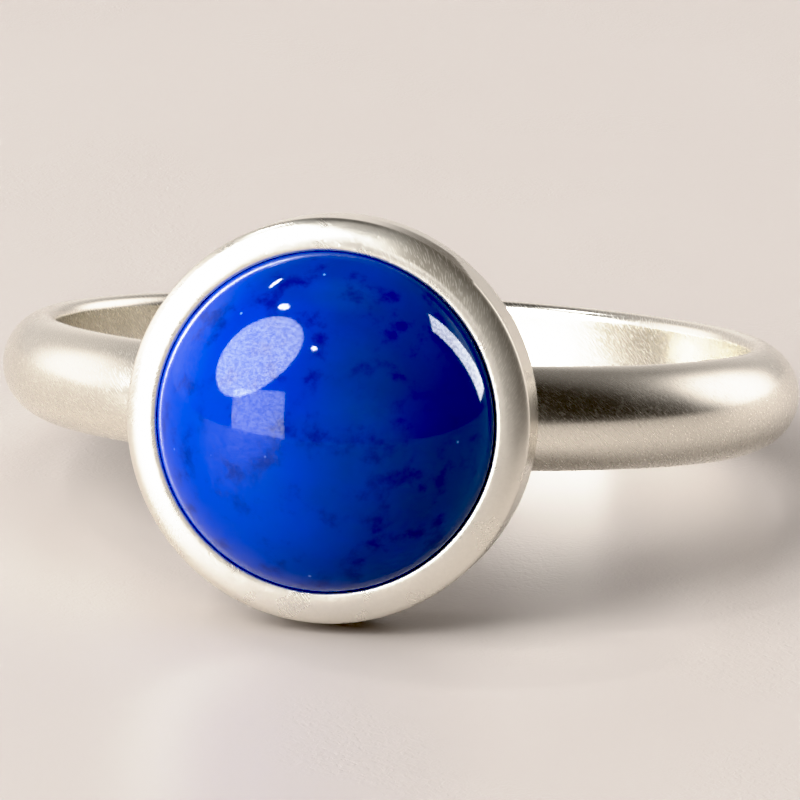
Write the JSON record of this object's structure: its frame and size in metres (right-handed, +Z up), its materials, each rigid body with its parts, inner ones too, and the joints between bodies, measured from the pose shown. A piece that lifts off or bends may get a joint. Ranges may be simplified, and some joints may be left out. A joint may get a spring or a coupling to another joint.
{
  "type": "gemstone ring",
  "caption": "Finger ring with a plain half-round band and a round, soft-edged bezel cup that holds a domed blue stone; it lies on its side.",
  "frame": {"origin": "middle of the ring's outline on the surface that it rests on, lying on its side", "axes": "+Z up; -Y is the way the stone faces, tipped up by 10.6 degrees at rest; the finger hole's axis leans 10.6 degrees from +Z towards +Y; +X to the right seen from the stone's side"},
  "size_m": [0.0194, 0.0226, 0.0094],
  "materials": {
    "silver": "satin sterling silver with fine scratches",
    "lapis": "polished lapis lazuli"
  },
  "bodies": {
    "root": {"silver_setting": "silver", "lapis_cabochon": "lapis"}
  },
  "joints": []
}
